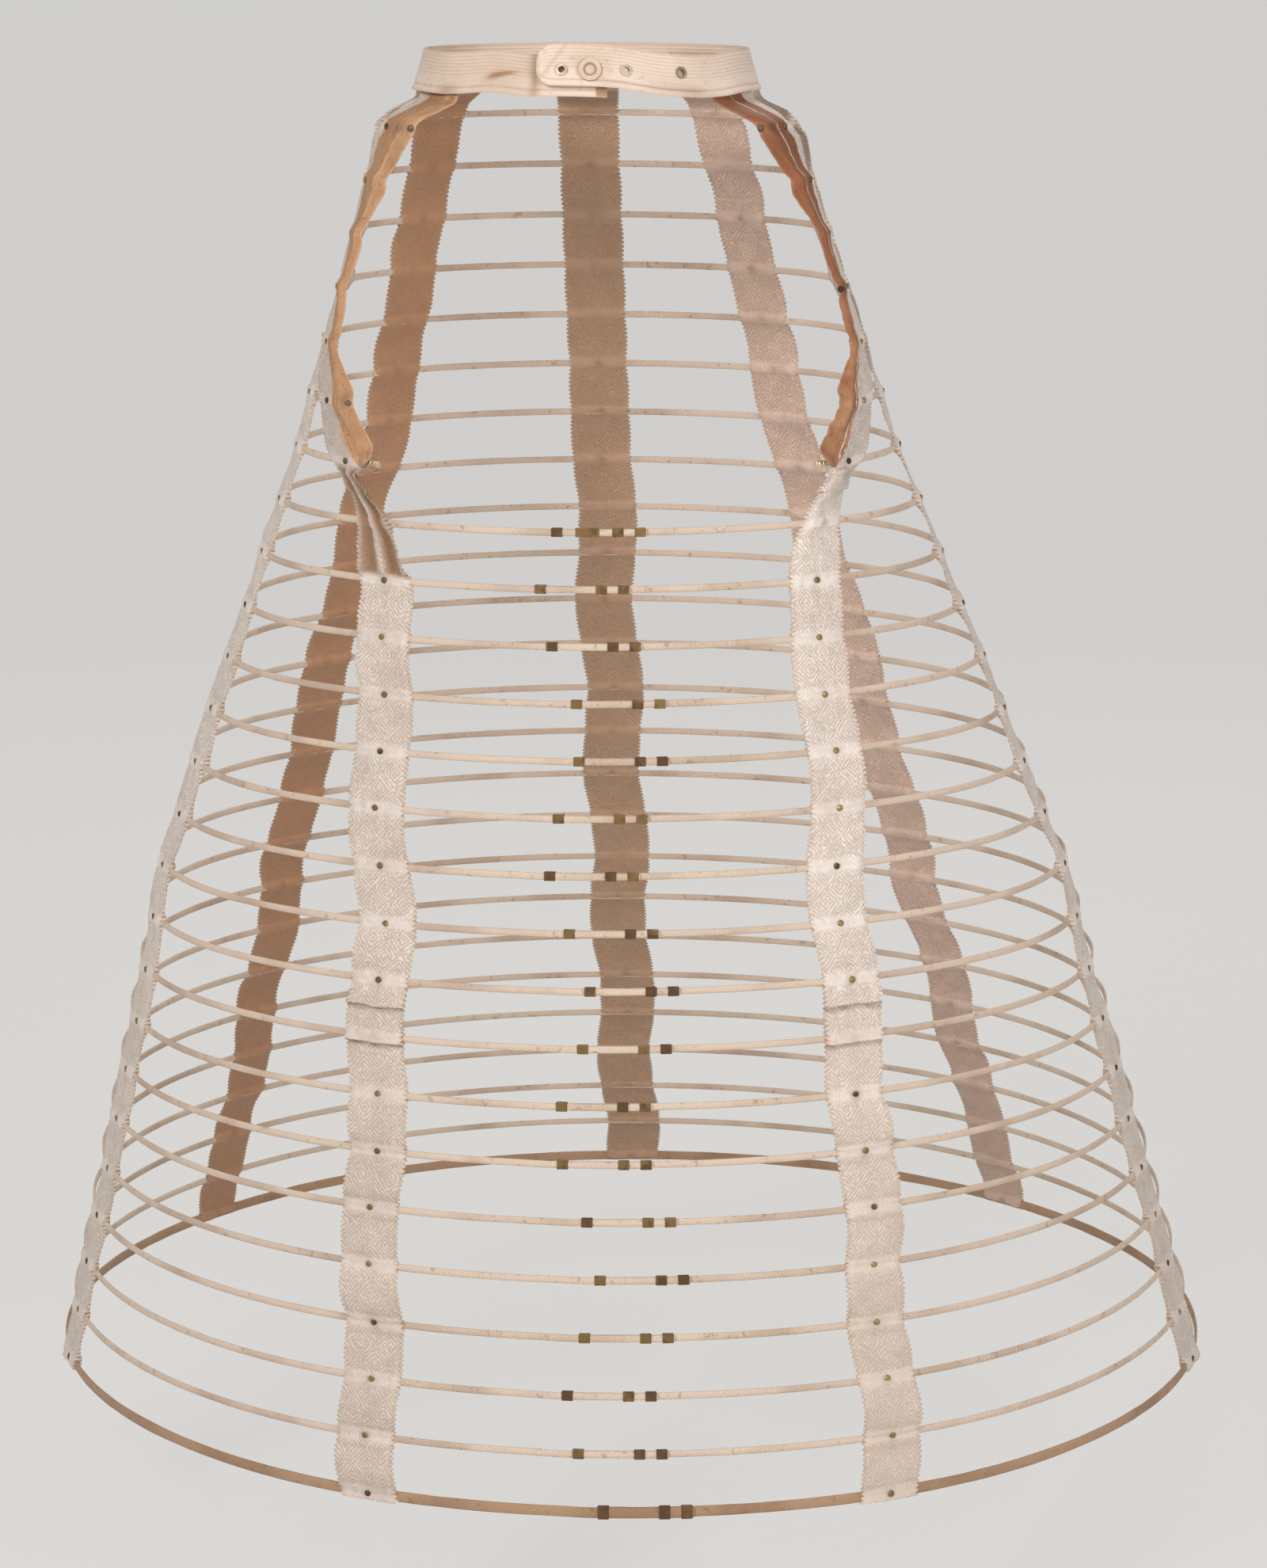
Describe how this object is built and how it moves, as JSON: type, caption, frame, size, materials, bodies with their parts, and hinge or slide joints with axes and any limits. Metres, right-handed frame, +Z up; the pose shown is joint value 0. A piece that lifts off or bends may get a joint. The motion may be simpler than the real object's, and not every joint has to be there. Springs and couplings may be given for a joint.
{
  "type": "crinoline cage",
  "caption": "Bell-shaped cage petticoat of covered spring-steel hoops hung in pocketed woven tapes from a lapped waistband, open at the upper front to hold out a wide skirt.",
  "frame": {"origin": "centre of the waist, at the waistband's mid height", "axes": "+Z up along the wearer's body, -Y to the wearer's front, +X to the right as seen from the front"},
  "size_m": [0.8156, 0.8815, 0.9224],
  "materials": {
    "band_cotton": "ribbed cotton, aged",
    "tape_cotton": "woven cotton, aged",
    "hoop_braid": "braided cotton over steel",
    "button_cloth": "cloth over a ring",
    "facing_leather": "worn tan leather",
    "facing_stud_iron": "rusted",
    "stud_brass": "tarnished",
    "clip_brass": "tarnished",
    "ferrule_brass": "tarnished",
    "eyelet_brass": "tarnished"
  },
  "bodies": {
    "root": {"waistband": "band_cotton", "waistband_eyelets": "eyelet_brass", "waistband_button": "button_cloth", "hoop_clips": "clip_brass", "hoop_end_ferrules": "ferrule_brass", "facing_front_left": "facing_leather", "facing_studs_front_left": "facing_stud_iron", "facing_front_right": "facing_leather", "facing_studs_front_right": "facing_stud_iron", "half_hoop_1": "hoop_braid", "half_hoop_2": "hoop_braid", "half_hoop_3": "hoop_braid", "half_hoop_4": "hoop_braid", "half_hoop_5": "hoop_braid", "half_hoop_6": "hoop_braid", "half_hoop_7": "hoop_braid", "hoop_01": "hoop_braid", "hoop_02": "hoop_braid", "hoop_03": "hoop_braid", "hoop_04": "hoop_braid", "hoop_05": "hoop_braid", "hoop_06": "hoop_braid", "hoop_07": "hoop_braid", "hoop_08": "hoop_braid", "hoop_09": "hoop_braid", "hoop_10": "hoop_braid", "hoop_11": "hoop_braid", "hoop_12": "hoop_braid", "hoop_13": "hoop_braid", "hoop_14": "hoop_braid", "hoop_15": "hoop_braid", "hoop_16": "hoop_braid", "hoop_17": "hoop_braid", "hoop_18": "hoop_braid", "tape_front_left": "tape_cotton", "tape_studs_front_left": "stud_brass", "tape_front_right": "tape_cotton", "tape_studs_front_right": "stud_brass", "tape_side_left": "tape_cotton", "tape_studs_side_left": "stud_brass", "tape_side_right": "tape_cotton", "tape_studs_side_right": "stud_brass", "tape_back_left": "tape_cotton", "tape_studs_back_left": "stud_brass", "tape_back_right": "tape_cotton", "tape_studs_back_right": "stud_brass", "tape_back_centre": "tape_cotton", "tape_studs_back_centre": "stud_brass"}
  },
  "joints": []
}
